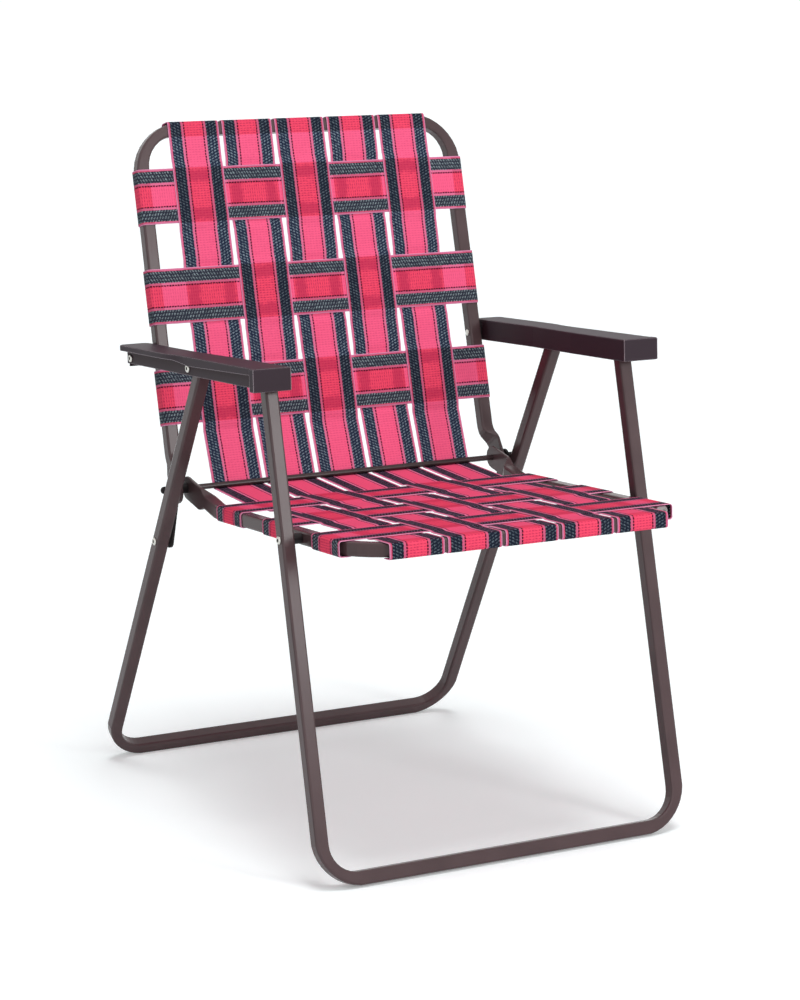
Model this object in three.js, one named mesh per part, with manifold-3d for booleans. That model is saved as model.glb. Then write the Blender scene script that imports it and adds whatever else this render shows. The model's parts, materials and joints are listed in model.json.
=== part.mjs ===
// Folding webbed lawn chair, a three.js scene graph in millimetres.
// The sitter faces -Y and +Z is up. Left is -X, as seen from the front. The parts are placed from
// the front floor bar, and the last step moves the origin to the floor under the chair's middle.
import * as THREE from 'three';
import { mergeVertices } from 'three/addons/utils/BufferGeometryUtils.js';
import Module from 'manifold-3d';

const wasm = await Module();
wasm.setup();

// Square tube, its flattened ends and the gaps between pieces
const TUBE = 16;
const TUBE_CORNER = 2.5;
const GAP = 0.3;
const PLATE = 4;
const PLATE_WIDTH = 28;
const PLATE_TRIM = 0.7;
const CRIMP_RUN = 16;
const BACK_PLATE_RUN = 38;
const SEAT_PLATE_RUN = 48;
const BACK_PLATE_OFFSET = 7;
const OVERRUN = 2;

// Frames in side view: floor bars, slopes in Y for each Z, and the bends
const FOOT_Z = 9.6;
const REAR_FOOT_Y = 587.8;
const FRONT_SLOPE = 0.251;
const REAR_SLOPE = -0.553;
const BACK_SLOPE = 0.257;
const SEAT_SLOPE = -0.057;
const FLOOR_BEND = 42;
const BACK_BEND = 47;
const SEAT_BEND = 62;
const HIP_BEND = 22;
const TAIL_BEND = 50;
const BEND_CRUSH = 3;
const LEG_END = 6;

// Heights of the pivots, and the hinge that the seat and back share
const ARM_PIVOT_Z = 531.8;
const FRONT_LEG_PIVOT_Z = 551.9;
const SEAT_PIVOT_Z = 377.6;
const LINK_PIVOT_Z = 314.5;
const HINGE_Y = 399;
const HINGE_Z = 380.1;
const BACK_TOP_Z = 796;
const BACK_SETBACK = 22.6;
const SEAT_FRONT_Y = -40.5;
const HIP_Z = 415;
const TAIL_Y = 321;

// Side to side: each frame stands outside the one before it
const SEAT_HALF = 204.8;
const HINGE_SPACER = 7.4;
const LINK_CLEAR = 1.2;
const LINK_THICK = 3;
const LEG_CLEAR = 1.2;
const SEAT_SPACER = 9.7;
const FRONT_TAPER = 0.004;
const REAR_TAPER = 0.012;
const BACK_TAPER = 0.0077;

// Webbing
const STRAP = 67;
const STRAP_THICK = 1;
const STRAP_GAP = 4.8;
const STRAP_SIDE = 27.7;
const BACK_ROW_START = 47.8;
const BACK_ROW_GAP = 54.3;
const ROW_BELOW_PIVOT = 17.6;
const SEAT_ROW_START = 37.4;
const SEAT_ROW_GAP = 57.2;
const SEAT_ROW_FOOT = 9.3;
const STRAP_FIT_SHARE = 0.05;
const ROW_FIT_SHARE = 0.25;
const STRAP_TAIL = 5;
const ROW_MARGIN = 1;
const RISE = 9;

// Rod, rivets, links and spacers
const ROD_RADIUS = 3.5;
const ROD_OVERHANG = 13;
const CAP_WALL = 0.8;
const CAP_LENGTH = 7;
const CAP_TOP = 1.6;
const RIVET_RADIUS = 2.5;
const RIVET_HEAD = 4.2;
const RIVET_DOME = 1.7;
const SPACER_RADIUS = 6;
const LINK_WIDTH = 19;

// Armrest moulding, in its own frame: front at zero, +Y to the rear, top at zero
const ARM_FRONT_REACH = 29.1;
const ARM_REAR_REACH = 19.4;
const ARM_FRONT_RISE = 13.3;
const ARM_REAR_RISE = 15.7;
const REAR_LEG_DROP = 14.3;
const ARM_DEPTH = 26;
const ARM_OUTER_DEPTH = 22.2;
const ARM_PLATE = 2.6;
const ARM_WALL = 2;
const ARM_WASHER = 1.9;
const ARM_CHANNEL = 25.9;
const KNEE_BEHIND_LEG = 37.8;
const WAIST_BEFORE_LEG = 61.2;
const WAIST_INSET = 6.5;
const FRONT_INSET = 10.2;
const ARM_CORNER = 9;
const ARM_EDGE = 1.4;
const ARM_OVERHANG = 8;
const CAP_LIP = 6;
const CAP_RUN = 10;
const FRONT_LIP = 4;
const REAR_LIP = 9;
const LIP_BEFORE_LEG = 6.2;
const LIP_RUN = 71;
const RIM_REAR = 6.6;
const RIM_MIDDLE = 11;
const RIM_FRONT = 7.6;
const MARK_RADIUS = 2;
const MARK_HEIGHT = 0.5;
const MARK_DROP = 7;
const MARK_BEFORE_PIVOT = 5.6;

const HALF_TUBE = TUBE / 2;
const STRAP_LIFT = GAP + STRAP_THICK / 2;
const LAYER = STRAP_THICK + GAP;
const PIN_HOLE = RIVET_RADIUS + GAP;
const ROD_HOLE = ROD_RADIUS + GAP;
const ARC_STEPS = 8;
const CORNER_STEPS = 2;
const ROUND_STEPS = 16;
const SIDES = [['left', -1], ['right', 1]];

// Points on the frames in side view, as [y, z]
const frontLegAt = (z) => [FRONT_SLOPE * (z - FOOT_Z), z];
const rearLegAt = (z) => [REAR_FOOT_Y + REAR_SLOPE * (z - FOOT_Z), z];
const backAt = (z) => [HINGE_Y + BACK_SETBACK + BACK_SLOPE * (z - HINGE_Z), z];
const seatAt = (y) => [y, SEAT_PIVOT_Z + SEAT_SLOPE * (y - frontLegAt(SEAT_PIVOT_Z)[0])];

// The armrest's top line passes over its front and rear pivots; the rear leg's pivot hangs under it
const armPivot = backAt(ARM_PIVOT_Z);
const frontLegPivot = frontLegAt(FRONT_LEG_PIVOT_Z);
const armFrontTop = FRONT_LEG_PIVOT_Z + ARM_FRONT_RISE;
const armSlope = (ARM_PIVOT_Z + ARM_REAR_RISE - armFrontTop) / (armPivot[0] - frontLegPivot[0]);
const armTopAt = (y) => armFrontTop + armSlope * (y - frontLegPivot[0]);
const rearLegPivotZ = (armTopAt(rearLegAt(0)[0]) - REAR_LEG_DROP) / (1 - armSlope * REAR_SLOPE);
const PIVOT = {
  arm: armPivot,
  rearLeg: rearLegAt(rearLegPivotZ),
  frontLeg: frontLegPivot,
  seat: frontLegAt(SEAT_PIVOT_Z),
  hinge: [HINGE_Y, HINGE_Z],
  link: rearLegAt(LINK_PIVOT_Z),
};
const armFront = PIVOT.frontLeg[0] - ARM_FRONT_REACH;
const armLength = PIVOT.arm[0] + ARM_REAR_REACH - armFront;
const armLeg = PIVOT.rearLeg[0] - armFront;
const lipStart = armLeg - LIP_BEFORE_LEG;

// Faces across the chair, worked outwards from the seat's side tube
const seatOuter = SEAT_HALF + HALF_TUBE;
const backPlateIn = seatOuter + HINGE_SPACER + 2 * GAP;
const backOuter = backPlateIn + PLATE;
const linkIn = backOuter + LINK_CLEAR;
const linkOut = linkIn + LINK_THICK;
const rearHalfAt = (z) => linkOut + LEG_CLEAR + HALF_TUBE - REAR_TAPER * (z - HINGE_Z);
const frontHalfAt = (z) => seatOuter + SEAT_SPACER + 2 * GAP + HALF_TUBE - FRONT_TAPER * (z - SEAT_PIVOT_Z);
const backHalfAt = (z) => backOuter - HALF_TUBE - BACK_TAPER * (z - HINGE_Z);
const armInner = backHalfAt(ARM_PIVOT_Z) + HALF_TUBE + ARM_WASHER + 2 * GAP;
const armOuter = armInner + 2 * ARM_WALL + ARM_CHANNEL;
const rodReach = linkOut + ROD_OVERHANG;

const COLOURS = {
  paint: { color: 0x4a3c3e, roughness: 0.38, metalness: 0.35 },
  moulding: { color: 0x463a40, roughness: 0.55, metalness: 0 },
  steel: { color: 0xc8c8c0, roughness: 0.3, metalness: 0.9 },
  black: { color: 0x17130f, roughness: 0.5, metalness: 0.2 },
  webbing: { color: 0xf0507f, roughness: 0.85, metalness: 0 },
};

const chair = new THREE.Group();

function addMesh(name, geometry, finish) {
  const mesh = new THREE.Mesh(geometry, new THREE.MeshStandardMaterial(COLOURS[finish]));
  mesh.name = name;
  chair.add(mesh);
  return mesh;
}

// Solids for joining and cutting
function solid(geometry) {
  const bare = geometry.clone();
  bare.deleteAttribute('normal');
  bare.deleteAttribute('uv');
  const welded = mergeVertices(bare);
  const vertProperties = new Float32Array(welded.attributes.position.array);
  const triVerts = new Uint32Array(welded.index.array);
  return new wasm.Manifold(new wasm.Mesh({ numProp: 3, vertProperties, triVerts }));
}

function geometryOf(manifold) {
  const mesh = manifold.getMesh();
  const geometry = new THREE.BufferGeometry();
  geometry.setAttribute('position', new THREE.BufferAttribute(new Float32Array(mesh.vertProperties), 3));
  geometry.setIndex(new THREE.BufferAttribute(new Uint32Array(mesh.triVerts), 1));
  return geometry;
}

// A bar of round section along X between two places, centred on a side-view point
function roundBar(radius, from, to, [y, z], steps = ROUND_STEPS) {
  const geometry = new THREE.CylinderGeometry(radius, radius, Math.abs(to - from), steps);
  geometry.rotateZ(Math.PI / 2);
  geometry.translate((from + to) / 2, y, z);
  return geometry;
}

function drill(geometry, holes) {
  let body = solid(geometry);
  for (const [radius, from, to, at] of holes) {
    body = body.subtract(solid(roundBar(radius, from, to, at)));
  }
  return geometryOf(body);
}

// A skin over equal rings of points, with flat ends
function loft(rings) {
  const count = rings[0].length;
  const points = rings.flat();
  const index = [];
  for (let r = 0; r + 1 < rings.length; r += 1) {
    for (let i = 0; i < count; i += 1) {
      const j = (i + 1) % count;
      const a = r * count + i;
      const b = r * count + j;
      index.push(a, b, b + count, a, b + count, a + count);
    }
  }
  const last = (rings.length - 1) * count;
  for (let i = 1; i + 1 < count; i += 1) {
    index.push(0, i + 1, i);
    index.push(last, last + i, last + i + 1);
  }
  const geometry = new THREE.BufferGeometry().setFromPoints(points);
  geometry.setIndex(index);
  return geometry;
}

// Outline of a rectangle with round corners, as [across, along] pairs going round once
function roundedRectangle(width, height, corner) {
  const r = Math.min(corner, width / 2, height / 2);
  const outline = [];
  for (let quarter = 0; quarter < 4; quarter += 1) {
    const sx = quarter === 0 || quarter === 3 ? 1 : -1;
    const sy = quarter < 2 ? 1 : -1;
    for (let k = 0; k <= CORNER_STEPS; k += 1) {
      const angle = (quarter + k / CORNER_STEPS) * (Math.PI / 2);
      outline.push([
        sx * (width / 2 - r) + r * Math.cos(angle),
        sy * (height / 2 - r) + r * Math.sin(angle),
      ]);
    }
  }
  return outline;
}

// Centre line through [point, radius, crush] corners; a radius of zero only marks a station
function bentLine(corners) {
  const points = corners.map(([point]) => point);
  const stations = [];
  corners.forEach(([point, radius, crush = 0], i) => {
    const before = points[Math.max(0, i - 1)];
    const inward = point.clone().sub(before).normalize();
    const outward = points[Math.min(points.length - 1, i + 1)].clone().sub(point).normalize();
    if (radius === 0) {
      stations.push({ at: point, heading: i ? inward : outward, crush });
      return;
    }
    const turn = inward.angleTo(outward);
    const axis = inward.clone().cross(outward).normalize();
    const start = point.clone().addScaledVector(inward, -radius * Math.tan(turn / 2));
    const centre = start.clone().addScaledVector(axis.clone().cross(inward), radius);
    const steps = Math.max(2, Math.ceil(ARC_STEPS * turn / (Math.PI / 2)));
    for (let k = 0; k <= steps; k += 1) {
      const angle = turn * k / steps;
      stations.push({
        at: start.clone().sub(centre).applyAxisAngle(axis, angle).add(centre),
        heading: inward.clone().applyAxisAngle(axis, angle),
        crush: crush * Math.sin(Math.PI * k / steps),
      });
    }
  });
  return stations;
}

// Square tube along a bent line, crushed a little on the outside of its bends; sectionAt gives the section at a distance from the nearer end
function tubeAlong(stations, firstSide, sectionAt) {
  let length = 0;
  const reach = stations.map((station, i) => {
    length += i ? station.at.distanceTo(stations[i - 1].at) : 0;
    return length;
  });
  let side = firstSide;
  const turn = new THREE.Quaternion();
  const rings = stations.map(({ at, heading, crush }, i) => {
    turn.setFromUnitVectors(stations[Math.max(0, i - 1)].heading, heading);
    side = side.clone().applyQuaternion(turn).projectOnPlane(heading).normalize();
    const up = heading.clone().cross(side);
    const section = sectionAt(Math.min(reach[i], length - reach[i]));
    return roundedRectangle(section.across - crush, section.along, section.corner)
      .map(([u, v]) => at.clone().addScaledVector(side, u + section.shift - crush / 2).addScaledVector(up, v));
  });
  return loft(rings);
}

const plainSection = () => ({ across: TUBE, along: TUBE, corner: TUBE_CORNER, shift: 0 });

// Flattened, round-ended plate that opens into the square tube, flush on the outer side
const plateSection = (run) => (distance) => {
  const radius = PLATE_WIDTH / 2;
  const inset = Math.max(0, 1 - (distance + PLATE_TRIM) / radius);
  const width = PLATE_WIDTH * Math.sqrt(1 - inset * inset);
  const open = THREE.MathUtils.smoothstep(distance, run, run + CRIMP_RUN);
  const across = THREE.MathUtils.lerp(PLATE, TUBE, open);
  return {
    across,
    along: THREE.MathUtils.lerp(width, TUBE, open),
    corner: THREE.MathUtils.lerp(PLATE / 4, TUBE_CORNER, open),
    shift: (TUBE - across) / 2,
  };
};

// Stations for a plate with its round end centred on a point, up to the square tube
function plateStations(centre, next, run) {
  const radius = PLATE_WIDTH / 2;
  const heading = next.clone().sub(centre).normalize();
  const end = centre.clone().addScaledVector(heading, PLATE_TRIM - radius);
  const distances = [0];
  for (let k = 2; k <= 5; k += 1) {
    distances.push(radius * (1 - Math.cos(k * Math.PI / 10)) - PLATE_TRIM);
  }
  for (let k = 0; k <= 4; k += 1) {
    distances.push(run + CRIMP_RUN * k / 4);
  }
  return distances.map((distance) => [end.clone().addScaledVector(heading, distance), 0]);
}

// A line that is the same on both sides, given its left half from the end inwards
function bothSides(half) {
  const other = half.map(([point, ...bend]) => [new THREE.Vector3(-point.x, point.y, point.z), ...bend]);
  return [...half, ...other.reverse()];
}

// Height of a floor bar's centre when its tilted square section rests on a rounded corner
function footHeight(slope) {
  const lean = Math.atan(Math.abs(slope));
  return TUBE_CORNER + (HALF_TUBE - TUBE_CORNER) * (Math.cos(lean) + Math.sin(lean));
}

// A leg frame: two legs and the floor bar between them
function legFrame(legAt, halfAt, slope, topZ, holes) {
  const place = (z) => new THREE.Vector3(-halfAt(z), ...legAt(z));
  const line = bentLine(bothSides([[place(topZ), 0], [place(footHeight(slope)), FLOOR_BEND, BEND_CRUSH]]));
  return drill(tubeAlong(line, new THREE.Vector3(-1, 0, 0), plainSection), holes);
}

function tubeHoles(halfAt, pivot) {
  const half = halfAt(pivot[1]);
  const reach = HALF_TUBE + OVERRUN;
  return SIDES.map(([, sign]) => [PIN_HOLE, sign * (half - reach), sign * (half + reach), pivot]);
}

function addLegFrames() {
  const lift = (slope) => LEG_END / Math.hypot(1, slope);
  const front = legFrame(frontLegAt, frontHalfAt, FRONT_SLOPE, FRONT_LEG_PIVOT_Z + lift(FRONT_SLOPE), [
    ...tubeHoles(frontHalfAt, PIVOT.seat),
    ...tubeHoles(frontHalfAt, PIVOT.frontLeg),
  ]);
  addMesh('front_leg_frame', front, 'paint');
  const rear = legFrame(rearLegAt, rearHalfAt, REAR_SLOPE, rearLegPivotZ + lift(REAR_SLOPE), [
    ...tubeHoles(rearHalfAt, PIVOT.rearLeg),
    ...tubeHoles(rearHalfAt, PIVOT.link),
  ]);
  addMesh('rear_leg_frame', rear, 'paint');
}

function hingeHoles(inner, outer) {
  return SIDES.map(([, sign]) => [ROD_HOLE, sign * (inner - OVERRUN), sign * (outer + OVERRUN), PIVOT.hinge]);
}

function addBackFrame() {
  const place = (half, [y, z]) => new THREE.Vector3(-half, y, z);
  const hip = place(backHalfAt(HIP_Z), backAt(HIP_Z));
  const pivot = place(backHalfAt(HINGE_Z), PIVOT.hinge);
  const offset = hip.clone().sub(pivot).cross(new THREE.Vector3(1, 0, 0)).setLength(BACK_PLATE_OFFSET);
  const top = place(backHalfAt(BACK_TOP_Z), backAt(BACK_TOP_Z));
  const half = [
    ...plateStations(pivot.add(offset), hip, BACK_PLATE_RUN),
    [hip, HIP_BEND],
    [top, BACK_BEND, BEND_CRUSH],
  ];
  const line = bentLine(bothSides(half));
  const tube = tubeAlong(line, new THREE.Vector3(-1, 0, 0), plateSection(BACK_PLATE_RUN));
  addMesh('back_frame', drill(tube, [
    ...hingeHoles(backPlateIn, backOuter),
    ...tubeHoles(backHalfAt, PIVOT.arm),
  ]), 'paint');
}

function addSeatFrame() {
  const place = ([y, z]) => new THREE.Vector3(-SEAT_HALF, y, z);
  const tail = place(seatAt(TAIL_Y));
  const half = [
    ...plateStations(place(PIVOT.hinge), tail, SEAT_PLATE_RUN),
    [tail, TAIL_BEND],
    [place(seatAt(SEAT_FRONT_Y)), SEAT_BEND, BEND_CRUSH],
  ];
  const line = bentLine(bothSides(half));
  const tube = tubeAlong(line, new THREE.Vector3(-1, 0, 0), plateSection(SEAT_PLATE_RUN));
  addMesh('seat_frame', drill(tube, [
    ...hingeHoles(seatOuter - PLATE, seatOuter),
    ...tubeHoles(() => SEAT_HALF, PIVOT.seat),
  ]), 'paint');
}

// Turns a shape drawn in side view into a solid that runs along X
function sideways(geometry) {
  const [across, forward, up] = [new THREE.Vector3(1, 0, 0), new THREE.Vector3(0, 1, 0), new THREE.Vector3(0, 0, 1)];
  return geometry.applyMatrix4(new THREE.Matrix4().makeBasis(forward, up, across));
}

function extruded(shape, from, to, options = { bevelEnabled: false }) {
  const geometry = new THREE.ExtrudeGeometry(shape, { depth: to - from, curveSegments: ARC_STEPS, ...options });
  return geometry.translate(0, 0, from);
}

// A ring round a pivot; the left one is the right one mirrored
function spacer(sign, hole, outer, from, to, [y, z]) {
  const ring = new THREE.Shape();
  ring.absarc(y, z, outer, 0, 2 * Math.PI);
  ring.holes.push(new THREE.Path().absarc(y, z, hole, 0, 2 * Math.PI));
  const [low, high] = sign > 0 ? [from, to] : [-to, -from];
  return sideways(extruded(ring, low, high, { bevelEnabled: false, curveSegments: ROUND_STEPS }));
}

// Turned piece on the X axis through a pivot, from a [radius, place] profile of the right side
function turned(sign, profile, [y, z]) {
  const points = profile.map(([radius, place]) => new THREE.Vector2(radius, sign * place));
  const geometry = new THREE.LatheGeometry(sign > 0 ? points : points.reverse(), ROUND_STEPS);
  geometry.rotateZ(-Math.PI / 2);
  return geometry.translate(0, y, z);
}

// Domed head as profile points from the axis out to its rim, or back again
function dome(radius, base, height) {
  const points = [];
  for (let k = 4; k >= 0; k -= 1) {
    const angle = k * Math.PI / 8;
    points.push([radius * Math.cos(angle), base + height * Math.sin(angle)]);
  }
  points[0][0] = 0;
  return points;
}

function rivetProfile(from, to, innerHead) {
  const start = innerHead ? dome(RIVET_HEAD, from, -RIVET_DOME) : [[0, from]];
  return [
    ...start,
    [RIVET_RADIUS, from],
    [RIVET_RADIUS, to],
    ...dome(RIVET_HEAD, to, RIVET_DOME).reverse(),
  ];
}

function addHinge() {
  const rodEnd = rodReach - CAP_TOP - GAP;
  addMesh('cross_rod', roundBar(ROD_RADIUS, -rodEnd, rodEnd, PIVOT.hinge), 'steel');
  const rim = ROD_HOLE + CAP_WALL;
  const cup = [
    [0, rodReach - CAP_TOP],
    [ROD_HOLE, rodReach - CAP_TOP],
    [ROD_HOLE, rodReach - CAP_LENGTH],
    ...dome(rim, rodReach - CAP_LENGTH, CAP_LENGTH).reverse(),
  ];
  for (const [side, sign] of SIDES) {
    addMesh(`rod_cap_${side}`, turned(sign, cup, PIVOT.hinge), 'steel');
    const sleeve = spacer(sign, ROD_HOLE, SPACER_RADIUS, seatOuter + GAP, backPlateIn - GAP, PIVOT.hinge);
    addMesh(`hinge_spacer_${side}`, sleeve, 'black');
    addLink(side, sign);
  }
}

// Link from the rod to the rear leg, with the flush end of its rivet
function addLink(side, sign) {
  const [from, to] = [PIVOT.hinge, PIVOT.link].map((pivot) => new THREE.Vector2(...pivot));
  const lean = to.clone().sub(from).angle();
  const plate = new THREE.Shape();
  plate.absarc(to.x, to.y, LINK_WIDTH / 2, lean - Math.PI / 2, lean + Math.PI / 2);
  plate.absarc(from.x, from.y, LINK_WIDTH / 2, lean + Math.PI / 2, lean + 3 * Math.PI / 2);
  plate.holes.push(new THREE.Path().absarc(from.x, from.y, ROD_HOLE, 0, 2 * Math.PI));
  plate.holes.push(new THREE.Path().absarc(to.x, to.y, PIN_HOLE, 0, 2 * Math.PI));
  const [low, high] = sign > 0 ? [linkIn, linkOut] : [-linkOut, -linkIn];
  addMesh(`link_${side}`, sideways(extruded(plate, low, high)), 'black');
  const end = roundBar(RIVET_RADIUS, sign * linkIn, sign * linkOut, PIVOT.link);
  addMesh(`link_rivet_end_${side}`, end, 'steel');
}

// Armrest moulding for the right side, in its own frame
function armrestOutline() {
  const [outer, rear] = [armOuter + FRONT_LIP, armOuter + REAR_LIP];
  const middle = lipStart + LIP_RUN / 2;
  const outline = new THREE.Shape();
  outline.moveTo(armInner - FRONT_INSET, 0);
  outline.lineTo(armOuter + CAP_LIP, 0);
  outline.lineTo(armOuter + CAP_LIP, CAP_RUN);
  outline.lineTo(outer, CAP_RUN + CAP_LIP - FRONT_LIP);
  outline.lineTo(outer, lipStart);
  outline.bezierCurveTo(outer, middle, rear, middle, rear, lipStart + LIP_RUN);
  outline.absarc(rear - ARM_CORNER, armLength - ARM_CORNER, ARM_CORNER, 0, Math.PI / 2);
  outline.absarc(armInner + ARM_CORNER, armLength - ARM_CORNER, ARM_CORNER, Math.PI / 2, Math.PI);
  outline.lineTo(armInner, armLeg + KNEE_BEHIND_LEG);
  outline.lineTo(armInner - WAIST_INSET, armLeg - WAIST_BEFORE_LEG);
  return outline;
}

function armrestChannel() {
  const rear = armLength - ARM_OVERHANG - ARM_WALL;
  return new THREE.Shape([
    new THREE.Vector2(armInner - FRONT_INSET + ARM_WALL, ARM_WALL),
    new THREE.Vector2(armOuter - ARM_WALL, ARM_WALL),
    new THREE.Vector2(armOuter - ARM_WALL, rear),
    new THREE.Vector2(armInner + ARM_WALL, rear),
    new THREE.Vector2(armInner + ARM_WALL, armLeg + KNEE_BEHIND_LEG),
    new THREE.Vector2(armInner - WAIST_INSET + ARM_WALL, armLeg - WAIST_BEFORE_LEG),
  ]);
}

// Space outside the outer wall and under the rim, in side view
function armrestRecess() {
  const bottom = -ARM_DEPTH - OVERRUN;
  const middle = lipStart + LIP_RUN / 2;
  return new THREE.Shape([
    new THREE.Vector2(CAP_RUN, -RIM_FRONT),
    new THREE.Vector2(CAP_RUN, bottom),
    new THREE.Vector2(armLength + OVERRUN, bottom),
    new THREE.Vector2(armLength + OVERRUN, -RIM_REAR),
    new THREE.Vector2(middle, -RIM_REAR),
    new THREE.Vector2(lipStart, -RIM_MIDDLE),
  ]);
}

function block([x0, y0, z0], [x1, y1, z1]) {
  const geometry = new THREE.BoxGeometry(x1 - x0, y1 - y0, z1 - z0);
  return solid(geometry.translate((x0 + x1) / 2, (y0 + y1) / 2, (z0 + z1) / 2));
}

function armrestBody() {
  const edge = { bevelThickness: ARM_EDGE, bevelSize: ARM_EDGE, bevelOffset: -ARM_EDGE, bevelSegments: 2 };
  const low = -ARM_DEPTH - OVERRUN;
  const far = armOuter + REAR_LIP + OVERRUN;
  const near = armInner - FRONT_INSET - OVERRUN;
  const markAt = PIVOT.arm[0] - armFront - MARK_BEFORE_PIVOT;
  const mark = roundBar(MARK_RADIUS, armInner - MARK_HEIGHT, armInner + ARM_WALL / 2, [markAt, -MARK_DROP]);
  return solid(extruded(armrestOutline(), ARM_EDGE - ARM_DEPTH, -ARM_EDGE, edge))
    .subtract(solid(sideways(extruded(armrestRecess(), armOuter, far))))
    .subtract(solid(extruded(armrestChannel(), low, -ARM_PLATE)))
    .subtract(block([near, armLength - ARM_OVERHANG, low], [far, armLength + OVERRUN, -RIM_REAR]))
    .subtract(block([armOuter - ARM_WALL - GAP, CAP_RUN, low], [far, armLength, -ARM_OUTER_DEPTH]))
    .add(solid(mark))
    .rotate([THREE.MathUtils.radToDeg(Math.atan(armSlope)), 0, 0])
    .translate([0, armFront, armTopAt(armFront)]);
}

function addArmrests() {
  const pivotHoles = [
    [PIN_HOLE, armInner - OVERRUN, armOuter + OVERRUN, PIVOT.arm],
    [PIN_HOLE, armOuter - ARM_WALL - OVERRUN, armOuter + OVERRUN, PIVOT.rearLeg],
  ];
  let right = armrestBody();
  for (const [radius, from, to, at] of pivotHoles) {
    right = right.subtract(solid(roundBar(radius, from, to, at)));
  }
  addMesh('armrest_left', geometryOf(right.mirror([1, 0, 0])), 'moulding');
  addMesh('armrest_right', geometryOf(right), 'moulding');
}

function addRivets() {
  const backIn = backHalfAt(ARM_PIVOT_Z) - HALF_TUBE - GAP;
  const head = armOuter + GAP;
  const rearHalf = rearHalfAt(rearLegPivotZ);
  const frontHalf = frontHalfAt(SEAT_PIVOT_Z);
  const topHalf = frontHalfAt(FRONT_LEG_PIVOT_Z);
  const footHalf = rearHalfAt(LINK_PIVOT_Z);
  for (const [side, sign] of SIDES) {
    const add = (name, from, to, inner, at) => {
      addMesh(`${name}_${side}`, turned(sign, rivetProfile(from, to, inner), at), 'steel');
    };
    add('arm_rivet', backIn, head, true, PIVOT.arm);
    add('rear_leg_rivet', rearHalf - HALF_TUBE, head, false, PIVOT.rearLeg);
    add('seat_rivet', SEAT_HALF - HALF_TUBE - GAP, frontHalf + HALF_TUBE + GAP, true, PIVOT.seat);
    add('front_leg_rivet', topHalf - HALF_TUBE, topHalf + HALF_TUBE + GAP, false, PIVOT.frontLeg);
    add('link_rivet_head', footHalf - HALF_TUBE, footHalf + HALF_TUBE + GAP, false, PIVOT.link);
    const ring = (name, from, to, at) => {
      addMesh(`${name}_${side}`, spacer(sign, PIN_HOLE, SPACER_RADIUS, from + GAP, to - GAP, at), 'black');
    };
    ring('arm_washer', backHalfAt(ARM_PIVOT_Z) + HALF_TUBE, armInner, PIVOT.arm);
    ring('rear_leg_spacer', rearHalf + HALF_TUBE, armOuter - ARM_WALL, PIVOT.rearLeg);
    ring('seat_spacer', seatOuter, frontHalf - HALF_TUBE, PIVOT.seat);
  }
}

// Planes that the webbing lies on: s runs from the end bar, n stands off the tube's centre
function plane([y, z], slopeVector, normalSign) {
  const along = new THREE.Vector2(...slopeVector).normalize();
  const normal = new THREE.Vector2(-along.y, along.x).multiplyScalar(normalSign);
  const at = (s, n) => new THREE.Vector2(y, z).addScaledVector(along, s).addScaledVector(normal, n);
  return { along, normal, at };
}

const BACK_PLANE = plane(backAt(BACK_TOP_Z), [-BACK_SLOPE, -1], -1);
const SEAT_PLANE = plane(seatAt(SEAT_FRONT_Y), [1, SEAT_SLOPE], 1);

// Places where straps start, from the first to the last, as many as the room between them takes
function spread(first, last, gap, fitShare) {
  const spaces = Math.floor((last - first) / (STRAP + gap) + fitShare);
  const places = [];
  for (let k = 0; k <= spaces; k += 1) {
    places.push(first + (last - first) * k / Math.max(1, spaces));
  }
  return places;
}

const pivotRow = (BACK_TOP_Z - ARM_PIVOT_Z) * Math.hypot(1, BACK_SLOPE) + ROW_BELOW_PIVOT;
const tailRow = (TAIL_Y - SEAT_FRONT_Y) * Math.hypot(1, SEAT_SLOPE) - SEAT_ROW_FOOT - STRAP;
const outerStrap = STRAP_SIDE - SEAT_HALF;
const BACK_ROWS = spread(BACK_ROW_START, pivotRow, BACK_ROW_GAP, ROW_FIT_SHARE);
const SEAT_ROWS = spread(SEAT_ROW_START, tailRow, SEAT_ROW_GAP, ROW_FIT_SHARE);
const LONG_STRAPS = spread(outerStrap, -outerStrap - STRAP, STRAP_GAP, STRAP_FIT_SHARE);

// Flat strap from its centre line, drawn in a plane and widened square to it
function ribbon(points, width) {
  const near = [];
  const far = [];
  points.forEach((point, i) => {
    const before = points[Math.max(0, i - 1)];
    const after = points[Math.min(points.length - 1, i + 1)];
    const heading = after.clone().sub(before).normalize();
    const offset = new THREE.Vector2(-heading.y, heading.x).multiplyScalar(STRAP_THICK / 2);
    near.push(point.clone().add(offset));
    far.unshift(point.clone().sub(offset));
  });
  return extruded(new THREE.Shape([...near, ...far]), -width / 2, width / 2);
}

function arcPoints(x, y, radius, from, to, steps) {
  const points = [];
  for (let k = 0; k <= steps; k += 1) {
    const angle = from + (to - from) * k / steps;
    points.push(new THREE.Vector2(x + radius * Math.cos(angle), y + radius * Math.sin(angle)));
  }
  return points;
}

// Strap end that starts behind a tube and comes round its outer side to its front face
function tubeWrap(half) {
  const radius = TUBE_CORNER + STRAP_LIFT;
  const corner = HALF_TUBE - TUBE_CORNER;
  return [
    new THREE.Vector2(-half + STRAP_TAIL, -HALF_TUBE - STRAP_LIFT),
    ...arcPoints(-half - corner, -corner, radius, 3 * Math.PI / 2, Math.PI, 3),
    ...arcPoints(-half - corner, corner, radius, Math.PI, Math.PI / 2, 3),
  ];
}

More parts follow.
